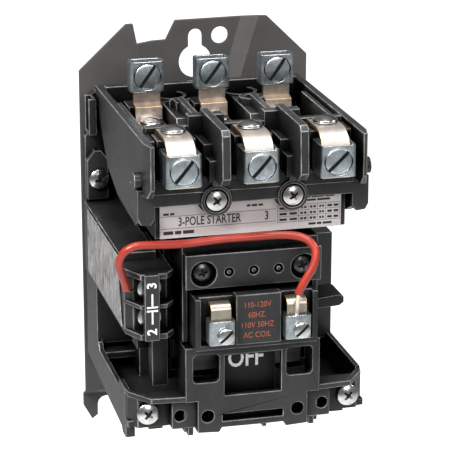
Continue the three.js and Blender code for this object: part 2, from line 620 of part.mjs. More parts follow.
// ---- jumper wire --------------------------------------------------------------------------------
// Centre line of the insulated wire from the auxiliary terminal to the right coil terminal.
const WIRE_ROUTE = [
  [-43.4, -88.6, -46.9], [-44, -89.2, -44.5], [-45.5, -91, -40.4], [-46.5, -92.6, -36.6], [-46.1, -93.8, -33.3],
  [-44.4, -94.8, -31], [-42, -95.2, -29.8], [-39.2, -95, -29.6], [-33.7, -94.6, -30], [-28.1, -94.2, -30.4],
  [-22.1, -93.8, -30.5], [-10.3, -93.6, -30], [2.4, -94.3, -29.8], [7.8, -95, -29.7], [11.7, -96, -29.7],
  [15.2, -97.4, -30.2], [17.6, -99, -31.3], [19.1, -100.6, -33.4], [19.1, -101.8, -36.2], [17.9, -102.5, -39.6],
  [15.9, -102.7, -42.9], [14.1, -102.5, -46.2], [13.1, -102.1, -48.8],
];
const BARE_START = [[-40.8, -87.4, -48], [-42.4, -88, -47.6]];
const BARE_END = [[13, -101.6, -50.4], [13, -101.1, -52.6], [13, -100.85, -54.4], [13, -100.85, -57]];

function jumperWire() {
  const vectors = (points) => points.map((p) => new THREE.Vector3(...p));
  const along = (points) => new THREE.CatmullRomCurve3(vectors(points), false, "centripetal");
  const jacket = tube(along(WIRE_ROUTE), WIRE_R, 4, 72);
  const bareStart = tube(along([...BARE_START, WIRE_ROUTE[0]]), BARE_R, 4, 4);
  const bareEnd = tube(along([WIRE_ROUTE.at(-1), ...BARE_END]), BARE_R, 4, 6);
  return join(jacket, bareStart, bareEnd);
}

// ---- assembly -----------------------------------------------------------------------------------
add("mounting_plate", mountingPlate(), plateGrey);
add("base_housing", baseHousing(), phenolic);
add("contact_block", contactBlock(), phenolic);
add("coil_cover", coilCover(), phenolic);
add("coil", coilBody(), coilResin);
add("magnet_yoke", magnetYoke(), steel);
add("armature", armature(), steel);
add("contact_carrier", contactCarrier(), carrierBlack);
add("aux_contact_block", auxHousing(), phenolic);
add("aux_plunger", box(-34.8, -30.4, -70.4, -64, -72, -64.9), carrierBlack);
add("side_label", prism("x", [
  [-20, -62.8], [-81.5, -62.8], [-74.5, -39], [-20, -39],
], AUX_LEFT - GAP - FOIL, AUX_LEFT - GAP), foil);
add("jumper_wire", jumperWire(), redJacket);

const nameplate = cut(
  box(-31.8, 31.8, PLATE_FACE - GAP - FOIL, PLATE_FACE - GAP, SKIRT_BOTTOM + 0.1, -17.7),
  both(rod("y", BARRIER_X, -16.3, 5.8, -95, -80, 24)),
);
add("nameplate", nameplate, foil);

["left", "middle", "right"].forEach((side, index) => {
  const pole = index - 1;
  const front = pole * POLE_FRONT;
  const rear = pole * POLE_REAR;
  const centre = (front + rear) / 2;
  add(`load_strap_${side}`, loadStrap(front), tinned);
  add(`line_strap_${side}`, lineStrap(rear), bronze);
  const frontHole = { x: front, z: LUG_Z, r: LUG_SCREW_R + GAP };
  const rearHole = { x: rear, z: LINE_LUG_Z, r: LUG_SCREW_R + GAP };
  const sunk = LUG_SCREW_HEAD - GAP;
  add(`load_lug_${side}`,
    lugCage(front, LUG_Y, LUG_Z, LUG_WIDTH, LUG_HEIGHT, LUG_DEPTH, frontHole), zinc);
  add(`line_lug_${side}`,
    lugCage(rear, LINE_LUG_Y, LINE_LUG_Z, LUG_WIDTH, LUG_HEIGHT, LINE_LUG_DEPTH, rearHole), zinc);
  add(`load_lug_screw_${side}`,
    slottedScrew(front, LUG_Y + sunk, LUG_Z, LUG_SCREW_R, LUG_SCREW_HEAD, 2.6, 3.8, -45), zinc);
  add(`line_lug_screw_${side}`,
    slottedScrew(rear, LINE_LUG_Y + sunk, LINE_LUG_Z, LUG_SCREW_R, LUG_SCREW_HEAD, 2.6, 1.6, -45), zinc);
  add(`load_strap_screw_${side}`, strapScrew(front, -86.6, 6.8, 9), silver);
  add(`line_strap_screw_${side}`, strapScrew(rear, -42, -2.2, 5), silver);
  add(`moving_contact_${side}`, movingContact(centre), silver);
  add(`contact_spring_${side}`,
    tube(new Helix(2.2, 0.85, 2), 0.3, 2, 24).translate(centre, -66, -22.2), steel);
});

["left", "right"].forEach((side, index) => {
  const sign = index ? 1 : -1;
  const coilX = sign * COIL_LUG_X;
  add(`coil_strap_${side}`, coilStrap(coilX), tinned);
  const screwX = coilX + COIL_SCREW[0];
  const screwHole = { x: screwX, z: COIL_SCREW[1], r: 1.9 };
  add(`coil_lug_${side}`, lugCage(coilX, COIL_LUG_Y, COIL_LUG_Z, 9.2, 8.4, 6.6, screwHole), zinc);
  add(`coil_lug_screw_${side}`,
    slottedScrew(screwX, COIL_LUG_Y - GAP, COIL_SCREW[1], 2.9, 1.3, 1.6, 4.4, -40), zinc);
  add(`captive_screw_${side}`, crossScrew(sign * BARRIER_X, -93.2, -16.3, 3.6, 2, 1.8, 14), silver);
  add(`cover_screw_${side}`, crossScrew(sign * 17.6, -90.3, -42.3, 3.4, 1.8, 1.7, 8), steel);
  add(`foot_screw_${side}`,
    crossScrew(sign * FOOT_SCREW[0], -86.2, FOOT_SCREW[1], 3.9, 2.2, 1.9, 6), silver);
  add(`flange_screw_${side}`,
    crossScrew(sign * FLANGE_SCREW[0], -14.3, FLANGE_SCREW[1], 3.7, 2.2, 2, 9.2), silver);
});

["upper", "lower"].forEach((level, index) => {
  const z = index ? -58 : -47.6;
  add(`aux_terminal_screw_${level}`, slottedScrew(AUX_SCREW_X, -86 - GAP, z, 4.2, 1.6, 1.9, 6, -30), silver);
});

export default starter;
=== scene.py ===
"""Looks of the magnetic motor starter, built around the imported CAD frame. Blender 4.5, metres, +Z up."""
import math

import bmesh
import bpy
from mathutils import Matrix, Vector


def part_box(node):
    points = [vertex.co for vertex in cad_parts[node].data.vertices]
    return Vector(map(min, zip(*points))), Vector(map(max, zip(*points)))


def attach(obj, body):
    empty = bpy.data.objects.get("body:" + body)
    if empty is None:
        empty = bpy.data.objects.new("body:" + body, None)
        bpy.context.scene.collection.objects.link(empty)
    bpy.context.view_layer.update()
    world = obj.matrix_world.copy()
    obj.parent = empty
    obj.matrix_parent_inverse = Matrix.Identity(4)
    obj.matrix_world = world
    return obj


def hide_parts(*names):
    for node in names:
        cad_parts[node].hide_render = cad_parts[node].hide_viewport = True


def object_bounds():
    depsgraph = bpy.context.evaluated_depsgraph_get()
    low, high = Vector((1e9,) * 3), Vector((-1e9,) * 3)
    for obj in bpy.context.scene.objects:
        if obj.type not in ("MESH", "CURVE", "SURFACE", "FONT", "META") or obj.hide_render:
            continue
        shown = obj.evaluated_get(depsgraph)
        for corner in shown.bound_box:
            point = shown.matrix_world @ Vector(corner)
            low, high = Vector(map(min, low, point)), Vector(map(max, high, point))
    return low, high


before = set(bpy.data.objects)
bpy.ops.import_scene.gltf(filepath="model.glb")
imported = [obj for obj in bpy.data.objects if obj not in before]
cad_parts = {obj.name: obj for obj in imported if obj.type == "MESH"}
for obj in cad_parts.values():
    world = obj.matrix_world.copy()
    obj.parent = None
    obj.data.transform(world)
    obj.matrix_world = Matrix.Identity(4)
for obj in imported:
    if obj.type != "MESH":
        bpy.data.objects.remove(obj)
CAD_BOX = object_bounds()

MM = 0.001
SIDES = ("left", "middle", "right")
PAIR = ("left", "right")


# ---- camera, light and floor --------------------------------------------------------------------
# The point that the camera and the lights look at.
TARGET = Vector((0.7, -50.0, -39.3)) * MM
CAMERA_AZIMUTH, CAMERA_ELEVATION = -14.23, 17.5
CAMERA_DISTANCE = 0.768
LENS = 171.5
SENSOR_WIDTH = 36
# Each light's azimuth and elevation in degrees, distance and diameter in metres, and power in watts.
LIGHTS = {
    "key": (-50, 42, 1.1, 0.4, 19),
    "front": (8, 24, 1.7, 0.7, 8),
    "rim": (80, 40, 1.2, 0.4, 6),
    "top": (10, 80, 1.0, 0.5, 9),
}
WORLD_STRENGTH = 0.16
FLOOR_HALF_WIDTH = 12
FLOOR_DROP = 0.45
WHITE = (1, 1, 1, 1)
FLOOR_GREY = (0.9, 0.9, 0.9, 1)


def aim(made, azimuth, elevation, distance):
    """Puts a camera or light at that azimuth and elevation, in degrees, and points it at the target."""
    turn, tilt = math.radians(azimuth), math.radians(elevation)
    flat = math.cos(tilt)
    back = Vector((math.sin(turn) * flat, -math.cos(turn) * flat, math.sin(tilt)))
    made.location = TARGET + back * distance
    made.rotation_mode = "QUATERNION"
    made.rotation_quaternion = (-back).to_track_quat("-Z", "Y")
    bpy.context.scene.collection.objects.link(made)


def make_camera():
    data = bpy.data.cameras.new("camera")
    data.lens = LENS
    data.sensor_width = SENSOR_WIDTH
    data.clip_start, data.clip_end = 0.01, 50
    camera = bpy.data.objects.new("camera", data)
    aim(camera, CAMERA_AZIMUTH, CAMERA_ELEVATION, CAMERA_DISTANCE)
    bpy.context.scene.camera = camera


def make_light(name, azimuth, elevation, distance, size, power):
    data = bpy.data.lights.new(name, "AREA")
    data.shape = "DISK"
    data.size = size
    data.energy = power
    aim(bpy.data.objects.new(name, data), azimuth, elevation, distance)


def make_world():
    world = bpy.data.worlds.new("studio")
    world.use_nodes = True
    background = world.node_tree.nodes["Background"]
    background.inputs["Color"].default_value = WHITE
    background.inputs["Strength"].default_value = WORLD_STRENGTH
    bpy.context.scene.world = world
    bpy.context.scene.view_settings.view_transform = "Standard"


def make_floor():
    """A pale floor, well below the object, that looks evenly white to the camera."""
    half = FLOOR_HALF_WIDTH
    height = CAD_BOX[0].z - FLOOR_DROP
    corners = [(-half, -half, height), (half, -half, height), (half, half, height), (-half, half, height)]
    mesh = bpy.data.meshes.new("floor")
    mesh.from_pydata(corners, [], [(0, 1, 2, 3)])
    floor = bpy.data.objects.new("floor", mesh)
    material = bpy.data.materials.new("floor")
    material.use_nodes = True
    shader = material.node_tree.nodes["Principled BSDF"]
    shader.inputs["Base Color"].default_value = FLOOR_GREY
    shader.inputs["Roughness"].default_value = 0.9
    shader.inputs["Emission Color"].default_value = WHITE
    seen = material.node_tree.nodes.new("ShaderNodeLightPath")
    material.node_tree.links.new(seen.outputs["Is Camera Ray"], shader.inputs["Emission Strength"])
    mesh.materials.append(material)
    bpy.context.scene.collection.objects.link(floor)


make_camera()
make_world()
for light_name, light in LIGHTS.items():
    make_light(light_name, *light)
make_floor()


# ---- materials ----------------------------------------------------------------------------------
# The sockets of a Mix node that mixes colours. Several sockets of that node share a name.
MIX_FACTOR, MIX_FIRST, MIX_SECOND, MIX_RESULT = 0, 6, 7, 2
# Where this share of the surroundings is open, the shade painted into a hollow is darkest, or isn't
# painted at all.
DARKEST_AT, UNSHADED_AT = 0.3, 0.88
HOLLOW_SHADE = 0.04
OCCLUSION_SAMPLES = 4


class Surface:
    """A Principled material with helpers for the procedural detail that feeds it."""

    def __init__(self, name, roughness=0.5, metallic=0.0, specular=0.5, coat=0.0):
        self.material = bpy.data.materials.new(name)
        self.material.use_nodes = True
        self.tree = self.material.node_tree
        self.shader = self.tree.nodes["Principled BSDF"]
        self.shader.inputs["Roughness"].default_value = roughness
        self.shader.inputs["Metallic"].default_value = metallic
        self.shader.inputs["Specular IOR Level"].default_value = specular
        self.shader.inputs["Coat Weight"].default_value = coat
        self.place = self.tree.nodes.new("ShaderNodeTexCoord")

    def link(self, source, node, socket):
        self.tree.links.new(source, node.inputs[socket])

    def scaled(self, scale):
        mapping = self.tree.nodes.new("ShaderNodeMapping")
        mapping.inputs["Scale"].default_value = scale
        self.link(self.place.outputs["Object"], mapping, "Vector")
        return mapping.outputs["Vector"]

    def noise(self, scale, detail, rough=0.55, stretch=(1, 1, 1)):
        node = self.tree.nodes.new("ShaderNodeTexNoise")
        node.inputs["Scale"].default_value = scale
        node.inputs["Detail"].default_value = detail
        node.inputs["Roughness"].default_value = rough
        self.link(self.scaled(stretch), node, "Vector")
        return node.outputs["Fac"]

    def ramp(self, fac, stops):
        """Colours at their positions along a value, and blends between them."""
        node = self.tree.nodes.new("ShaderNodeValToRGB")
        elements = node.color_ramp.elements
        while len(elements) < len(stops):
            elements.new(0.5)
        for element, (position, colour) in zip(elements, stops):
            element.position = position
            element.color = (*colour, 1)
        self.link(fac, node, "Fac")
        return node.outputs["Color"]

    def grey(self, fac, low, high):
        """A number between low and high, for a value between 0 and 1."""
        node = self.tree.nodes.new("ShaderNodeMapRange")
        node.inputs["To Min"].default_value = low
        node.inputs["To Max"].default_value = high
        self.link(fac, node, "Value")
        return node.outputs["Result"]

    def colour(self, output):
        self.link(output, self.shader, "Base Color")

    def roughness(self, output):
        self.link(output, self.shader, "Roughness")

    def paint_shade_in_hollows(self, reach=20):
        """Paints shade into the colour and the gloss in wells and corners with little light. Reach is in
        mm.
        """
        occlusion = self.tree.nodes.new("ShaderNodeAmbientOcclusion")
        occlusion.samples = OCCLUSION_SAMPLES
        occlusion.inputs["Distance"].default_value = reach * MM
        fade = self.tree.nodes.new("ShaderNodeMapRange")
        fade.inputs["From Min"].default_value = DARKEST_AT
        fade.inputs["From Max"].default_value = UNSHADED_AT
        fade.inputs["To Min"].default_value = HOLLOW_SHADE
        self.link(occlusion.outputs["AO"], fade, "Value")
        lit = fade.outputs["Result"]
        mix = self.tree.nodes.new("ShaderNodeMix")
        mix.data_type = "RGBA"
        mix.blend_type = "MULTIPLY"
        mix.inputs[MIX_FACTOR].default_value = 1
        self.link(self.shader.inputs["Base Color"].links[0].from_socket, mix, MIX_FIRST)
        self.link(lit, mix, MIX_SECOND)
        self.link(mix.outputs[MIX_RESULT], self.shader, "Base Color")
        level = self.tree.nodes.new("ShaderNodeMath")
        level.operation = "MULTIPLY"
        level.inputs[1].default_value = self.shader.inputs["Specular IOR Level"].default_value
        self.link(lit, level, 0)
        self.link(level.outputs[0], self.shader, "Specular IOR Level")

    def bump(self, height, distance, strength):
        """Adds a bump to those that the surface has already."""
        node = self.tree.nodes.new("ShaderNodeBump")
        node.inputs["Strength"].default_value = strength
        node.inputs["Distance"].default_value = distance
        self.link(height, node, "Height")
        if self.shader.inputs["Normal"].is_linked:
            self.link(self.shader.inputs["Normal"].links[0].from_socket, node, "Normal")
        self.link(node.outputs["Normal"], self.shader, "Normal")


def moulded_plastic(name, dark, light, roughness):
    """Compression-moulded plastic: a fine grain, faint flow marks that run up and down, and shade painted
    into its hollows.
    """
    grain = 0.02 * MM
    surface = Surface(name)
    flow = surface.noise(90, 5, 0.6, (1, 1, 0.45))
    surface.colour(surface.ramp(flow, [(0.3, dark), (0.72, light)]))
    surface.roughness(surface.grey(surface.noise(420, 3), roughness - 0.07, roughness + 0.1))
    surface.bump(surface.noise(2600, 2, 0.5), grain, 0.5)
    surface.bump(surface.noise(160, 3, 0.5), 3 * grain, 0.25)
    surface.paint_shade_in_hollows()
    return surface.material


def painted_highlight_edge(name, dark, light):
    """The rounded edges of a moulding: glossy, with a highlight painted into their colour and shade
    painted into their hollows.
    """
    surface = Surface(name, specular=0.8)
    surface.colour(surface.ramp(surface.noise(170, 5, 0.6), [(0.34, dark), (0.68, light)]))
    surface.roughness(surface.grey(surface.noise(420, 3), 0.2, 0.34))
    surface.paint_shade_in_hollows(7)
    return surface.material


def plated_metal(name, dark, light, roughness, brushed=(1, 1, 1), bump=0.01):
    """Metal with a cloudy, slightly rough finish. The brushed scale stretches both along an axis."""
    surface = Surface(name, metallic=1.0)
    cloud = surface.noise(260, 5, 0.65, brushed)
    surface.colour(surface.ramp(cloud, [(0.28, dark), (0.7, light)]))
    wear = surface.noise(700, 4, 0.6, brushed)
    surface.roughness(surface.grey(wear, roughness - 0.09, roughness + 0.13))
    surface.bump(surface.noise(1500, 3, 0.6, brushed), bump * MM, 0.5)
    return surface.material


def painted_sheet(name, dark, light):
    """Thin black paint on pressed steel."""
    surface = Surface(name, specular=0.4)
    surface.colour(surface.ramp(surface.noise(60, 6, 0.6), [(0.3, dark), (0.75, light)]))
    surface.roughness(surface.grey(surface.noise(500, 3), 0.42, 0.58))
    surface.bump(surface.noise(1400, 3, 0.6), 0.03 * MM, 0.5)
    return surface.material


def foil(name, dark, light):
    """Printed foil with a faint rolling grain along X."""
    surface = Surface(name, metallic=0.35)
    surface.colour(surface.ramp(surface.noise(150, 5, 0.6, (0.25, 1, 1)), [(0.3, dark), (0.7, light)]))
    surface.roughness(surface.grey(surface.noise(1200, 2, 0.5, (0.1, 1, 1)), 0.34, 0.5))
    surface.bump(surface.noise(2200, 2, 0.5, (0.1, 1, 1)), 0.004 * MM, 0.5)
    return surface.material


def scuffed_foil(name, worn, dull, silver):
    """The foil on the side of the auxiliary block: silvery, with dark blotches where it has worn."""
    surface = Surface(name, metallic=0.3)
    streak = surface.noise(560, 9, 0.78, (1, 1, 0.35))
    surface.colour(surface.ramp(streak, [(0.34, worn), (0.5, dull), (0.66, silver)]))
    surface.roughness(surface.grey(surface.noise(900, 3), 0.35, 0.6))
    return surface.material


def insulation(name, dark, light):
    """Soft vinyl with a slight shine and an uneven surface."""
    surface = Surface(name, coat=0.15)
    surface.colour(surface.ramp(surface.noise(120, 4), [(0.3, dark), (0.75, light)]))
    surface.roughness(surface.grey(surface.noise(700, 3), 0.3, 0.46))
    surface.bump(surface.noise(900, 2), 0.012 * MM, 0.4)
    return surface.material


def ink(name, colour, roughness=0.55):
    """Flat ink that covers unevenly."""
    surface = Surface(name, roughness=roughness, specular=0.3)
    thin = tuple(0.8 * channel for channel in colour)
    surface.colour(surface.ramp(surface.noise(900, 4, 0.6), [(0.3, thin), (0.6, colour)]))
    return surface.material


PHENOLIC = moulded_plastic("phenolic", (0.015, 0.0155, 0.016), (0.03, 0.031, 0.0315), 0.33)
# The edge colours, far lighter than the plastics that they round off, are painted highlights.
PHENOLIC_HIGHLIGHT = painted_highlight_edge("phenolic_highlight", (0.07, 0.068, 0.066), (0.24, 0.235, 0.23))
CARRIER = moulded_plastic("carrier_plastic", (0.006, 0.006, 0.0065), (0.011, 0.011, 0.0115), 0.46)
RESIN = moulded_plastic("coil_resin", (0.014, 0.0145, 0.0145), (0.024, 0.0245, 0.0245), 0.36)
RESIN_HIGHLIGHT = painted_highlight_edge("resin_highlight", (0.05, 0.05, 0.049), (0.16, 0.158, 0.155))
SHADOW = ink("slot_shadow", (0.02, 0.021, 0.022), 0.7)
BLACKENED = plated_metal("blackened_steel", (0.03, 0.03, 0.032), (0.14, 0.14, 0.145), 0.26)
PLATE = painted_sheet("plate_paint", (0.045, 0.042, 0.04), (0.064, 0.06, 0.057))
ZINC = plated_metal("zinc", (0.25, 0.3, 0.32), (0.68, 0.74, 0.77), 0.34, bump=0.03)
# A lighter zinc for the rounded edges of the lugs, a painted highlight.
ZINC_HIGHLIGHT = plated_metal("zinc_highlight", (0.5, 0.56, 0.59), (0.82, 0.87, 0.9), 0.24)
NICKEL = plated_metal("nickel", (0.42, 0.42, 0.41), (0.8, 0.8, 0.78), 0.22)
TINNED = plated_metal("tinned_brass", (0.42, 0.375, 0.34), (0.56, 0.515, 0.475), 0.5, (1, 0.3, 1))
BRONZE = plated_metal("bronze", (0.4, 0.32, 0.26), (0.72, 0.61, 0.53), 0.36, (1, 0.3, 1))
COIL_TIN = plated_metal("coil_strap_tin", (0.42, 0.37, 0.3), (0.62, 0.56, 0.47), 0.36, (1, 0.3, 1))
BRASS = plated_metal("sheared_brass", (0.55, 0.36, 0.14), (0.78, 0.55, 0.26), 0.34)
COPPER = plated_metal("tinned_copper", (0.75, 0.62, 0.52), (0.92, 0.84, 0.76), 0.25)
LAMINATION = plated_metal("lamination", (0.2, 0.2, 0.21), (0.42, 0.42, 0.43), 0.4, (1, 40, 1))
STEEL = plated_metal("steel", (0.28, 0.29, 0.3), (0.46, 0.47, 0.48), 0.36)
FOIL = foil("label_foil", (0.58, 0.54, 0.53), (0.72, 0.68, 0.67))
SIDE_FOIL = scuffed_foil("scuffed_foil", (0.05, 0.05, 0.05), (0.3, 0.29, 0.285), (0.62, 0.6, 0.59))
RED = insulation("red_insulation", (0.26, 0.019, 0.009), (0.37, 0.031, 0.015))
WHITE_INK = ink("white_ink", (0.95, 0.95, 0.94))
BLACK_INK = ink("black_ink", (0.03, 0.03, 0.032))
GREY_INK = ink("grey_ink", (0.16, 0.15, 0.15))
ORANGE_INK = ink("orange_ink", (0.3, 0.085, 0.05))


# ---- jumper wire --------------------------------------------------------------------------------
# The points that the wire's route follows, in mm. Both ends go on as bare wire.
WIRE_ROUTE = [
    (-43.4, -88.6, -46.9), (-44, -89.2, -44.5), (-45.5, -91, -40.4), (-46.5, -92.6, -36.6),
    (-46.1, -93.8, -33.3), (-44.4, -94.8, -31), (-42, -95.2, -29.8), (-39.2, -95, -29.6),
    (-33.7, -94.6, -30), (-28.1, -94.2, -30.4), (-22.1, -93.8, -30.5), (-10.3, -93.6, -30),
    (2.4, -94.3, -29.8), (7.8, -95, -29.7), (11.7, -96, -29.7), (15.2, -97.4, -30.2),
    (17.6, -99, -31.3), (19.1, -100.6, -33.4), (19.1, -101.8, -36.2), (17.9, -102.5, -39.6),
    (15.9, -102.7, -42.9), (14.1, -102.5, -46.2), (13.1, -102.1, -48.8),
]
BARE_START = [WIRE_ROUTE[0], (-42.4, -88, -47.6), (-40.8, -87.4, -48)]
BARE_END = [
    WIRE_ROUTE[-1], (13, -101.6, -50.4), (13, -101.1, -52.6), (13, -100.85, -54.4), (13, -100.85, -57),
]
JACKET_DIAMETER = 2.8
BARE_START_DIAMETER, BARE_END_DIAMETER = 1.3, 1.8


def smooth_line(points, steps=6):
    """A Catmull-Rom line through points in mm. The line is in metres."""
    knots = [Vector(p) * MM for p in points]
    knots = [2 * knots[0] - knots[1], *knots, 2 * knots[-1] - knots[-2]]
    line = []
    for a, b, c, d in zip(knots, knots[1:], knots[2:], knots[3:]):
        for step in range(steps):
            t = step / steps
            line.append(0.5 * (2 * b + (c - a) * t + (2 * a - 5 * b + 4 * c - d) * t ** 2
                               + (3 * b - a - 3 * c + d) * t ** 3))
    return [*line, knots[-2]]


def strand(name, line, diameter, material):
    """A round wire along a line, with closed ends."""
    curve = bpy.data.curves.new(name, "CURVE")
    curve.dimensions = "3D"
    curve.bevel_depth = diameter / 2 * MM
    curve.bevel_resolution = 5
    curve.use_fill_caps = True
    spline = curve.splines.new("POLY")
    spline.points.add(len(line) - 1)
    for point, spot in zip(spline.points, line):
        point.co = (*spot, 1)
    spline.use_smooth = True
    curve.materials.append(material)
    made = bpy.data.objects.new(name, curve)
    bpy.context.scene.collection.objects.link(made)
    return made


wire_line = smooth_line(WIRE_ROUTE)
jacket = strand("wire_jacket_run", wire_line, JACKET_DIAMETER, RED)
bare_start = strand("wire_bare_start", smooth_line(BARE_START), BARE_START_DIAMETER, COPPER)
bare_end = strand("wire_bare_end", smooth_line(BARE_END), BARE_END_DIAMETER, COPPER)
WIRE_SLOTS = ((jacket, "wire_jacket"), (bare_start, "tinned_brass"), (bare_end, "tinned_brass"))
for piece, slot_name in WIRE_SLOTS:
    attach(piece, "starter_body")
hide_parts("jumper_wire")


# ---- mesh helpers -------------------------------------------------------------------------------
# A piece's second material, for its rounded edges (on many pieces a painted highlight), its sheared ends
# or the inside of its recesses (a painted shadow).
EDGE = 1
# Stands up a shape made lying flat, so that its top looks to the front.
FACING_FRONT = Matrix(((1, 0, 0, 0), (0, 0, -1, 0), (0, 1, 0, 0), (0, 0, 0, 1)))
# Points nearer than this, in metres, are one point.
SAME_POINT = 2e-6
FLAT_WITHIN = math.radians(0.6)
TURNED_SEGMENTS = 48


def new_object(name, bm):
    mesh = bpy.data.meshes.new(name)
    bm.to_mesh(mesh)
    bm.free()
    made = bpy.data.objects.new(name, mesh)
    bpy.context.scene.collection.objects.link(made)
    return made


def bake(made):
    """Applies the modifiers of a piece to its mesh."""
    graph = bpy.context.evaluated_depsgraph_get()
    mesh = bpy.data.meshes.new_from_object(made.evaluated_get(graph))
    made.modifiers.clear()
    made.data = mesh


def shade(made, angle=38):
    """Smooth shading that stays crisp at edges steeper than the angle, in degrees."""
    bm = bmesh.new()
    bm.from_mesh(made.data)
    for face in bm.faces:
        face.smooth = True
    for edge in bm.edges:
        edge.smooth = len(edge.link_faces) == 2 and edge.calc_face_angle(0) < math.radians(angle)
    bm.to_mesh(made.data)
    bm.free()
    weighted = made.modifiers.new("normals", "WEIGHTED_NORMAL")
    weighted.keep_sharp = True


def finished(made, body, slot, *nodes):
    """Puts a piece on its body and hides the CAD nodes that it stands for, if any. The slot is not used.
    """
    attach(made, body)
    if nodes:
        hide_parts(*nodes)


def dress(made, *materials):
    """Gives a piece its material, or one for its faces and one for its edges."""
    for material in materials:
        made.data.materials.append(material)


def rounding(made, radius):
    """A bevel of that radius in mm, in the material of the edges."""
    bevel = made.modifiers.new("rounding", "BEVEL")
    bevel.width = radius * MM
    bevel.segments = 2
    bevel.material = EDGE
    bevel.use_clamp_overlap = False
    return bevel


def moulded(node, material, slot, body="starter_body", radius=0.3, angle=33, edge=None):
    """A copy of a CAD node with its triangles merged into faces and its outer edges rounded.

    The radius is in mm. Edges that turn by more than the angle, in degrees, are rounded.
    """
    bm = bmesh.new()
    bm.from_mesh(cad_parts[node].data)
    bmesh.ops.remove_doubles(bm, verts=bm.verts, dist=SAME_POINT)
    bmesh.ops.dissolve_limit(bm, angle_limit=FLAT_WITHIN, verts=bm.verts, edges=bm.edges)
    many_sided = [face for face in bm.faces if len(face.verts) > 4]
    bmesh.ops.triangulate(bm, faces=many_sided, quad_method="BEAUTY", ngon_method="BEAUTY")
    weight = bm.edges.layers.float.new("bevel_weight_edge")
    for line in bm.edges:
        is_sharp = line.calc_face_angle(0) > math.radians(angle)
        if len(line.link_faces) == 2 and line.is_convex and is_sharp:
            line[weight] = 1
    made = new_object(node + "_shell", bm)
    dress(made, material, edge or material)
    rounding(made, radius).limit_method = "WEIGHT"
    bake(made)
    shade(made)
    finished(made, body, slot, node)
    return made


def carve(made, *cutters):
    """Cuts the other objects out of a piece, and removes them."""
    for cutter in cutters:
        cut = made.modifiers.new("cut", "BOOLEAN")
        cut.operation = "DIFFERENCE"
        cut.solver = "EXACT"
        cut.object = cutter
    bake(made)
    for cutter in cutters:
        bpy.data.objects.remove(cutter)


def add_box(bm, low, high):
    """Adds a box between two corners, and returns its vertices."""
    verts = bmesh.ops.create_cube(bm, size=1)["verts"]
    for vert in verts:
        vert.co = Vector(low[i] + (vert.co[i] + 0.5) * (high[i] - low[i]) for i in range(3))
    return verts


def block(name, low, high, turn):
    """A box between two corners, turned by a matrix about the origin."""
    bm = bmesh.new()
    bmesh.ops.transform(bm, matrix=turn, verts=add_box(bm, low, high))
    return new_object(name, bm)


def turned(name, profile, segments=TURNED_SEGMENTS):
    """A solid of revolution about Z. Its profile runs from the axis below to the axis above."""
    bm = bmesh.new()
    angles = [2 * math.pi * i / segments for i in range(segments)]
    rings = []
    for radius, height in profile:
        if radius == 0:
            rings.append([bm.verts.new((0, 0, height))])
            continue
        rings.append([bm.verts.new((radius * math.cos(a), radius * math.sin(a), height)) for a in angles])
    for low, high in zip(rings, rings[1:]):
        for i in range(segments):
            j = (i + 1) % segments
            corners = []
            for ring, k in ((low, i), (low, j), (high, j), (high, i)):
                vert = ring[k] if len(ring) > 1 else ring[0]
                if vert not in corners:
                    corners.append(vert)
            bm.faces.new(corners)
    return new_object(name, bm)


def place(made, spot, turn):
    """Moves the mesh of a piece, not its object, so that the piece stays at the origin."""
    made.data.transform(Matrix.Translation(spot) @ turn)


# ---- screws -------------------------------------------------------------------------------------
# The turn of each lug screw's slot, in degrees, from left to right.
SLOT_ANGLES = {"load": (50, 48, 43), "line": (54, 53, 55)}
# Each kind's material, slot, height of the head in mm, and turn of the cross in degrees.
CROSSED_SCREWS = {
    "captive_screw": (NICKEL, "nickel", 1.9, 35),
    "cover_screw": (BLACKENED, "steel", 1.7, 20),
    "foot_screw": (NICKEL, "nickel", 2.1, 50),
    "flange_screw": (NICKEL, "nickel", 2.1, 15),
}


def head_profile(radius, height, depth, shank, dome):
    """A screw from the tip of its shank to the top of its head, which lies at height 0."""
    rim = min(0.25 * MM, 0.3 * height)
    tip = 0.4 * MM
    chamfer = 0.1 * MM
    return [
        (0, -depth),
        (0.8 * shank, -depth),
        (shank, -depth + tip),
        (shank, -height),
        (radius - chamfer, -height),
        (radius, -height + chamfer),
        (radius, -dome - rim),
        (radius - 0.35 * rim, -dome - 0.3 * rim),
        (radius - rim, -dome),
        (0.8 * radius, -0.62 * dome),
        (0.55 * radius, -0.28 * dome),
        (0.28 * radius, -0.07 * dome),
        (0, 0),
    ]


def slotted(node, material, slot, body, height, angle, dome=0.25, upright=False, shank=2.4, width=1.3):
    """A slotted screw. Height, dome, shank radius and slot width are in mm, and the angle in degrees."""
    low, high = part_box(node)
    centre = (low + high) / 2
    radius = (high.x - low.x) / 2
    depth = high.z - low.z if upright else high.y - low.y
    profile = head_profile(radius, height * MM, depth, min(shank * MM, 0.62 * radius), dome * MM)
    made = turned(node + "_turned", profile)
    turn = Matrix.Rotation(math.radians(angle), 4, "Z")
    half = width * MM / 2
    deep = 0.62 * height * MM
    carve(made, block("slot", (-2 * radius, -half, -deep), (2 * radius, half, MM), turn))
    dress(made, material, SHADOW)
    for polygon in made.data.polygons:
        spot = turn.inverted() @ polygon.center
        in_head = spot.z > -0.95 * height * MM
        under_dome = spot.z < -0.9 * dome * MM
        is_wall = abs(polygon.normal.z) < 0.5
        if abs(spot.y) < 1.02 * half and in_head and (under_dome or is_wall):
            polygon.material_index = EDGE
    if upright:
        place(made, Vector((centre.x, centre.y, high.z)), Matrix.Identity(4))
    else:
        place(made, Vector((centre.x, low.y, centre.z)), FACING_FRONT)
    shade(made, 45)
    finished(made, body, slot, node)


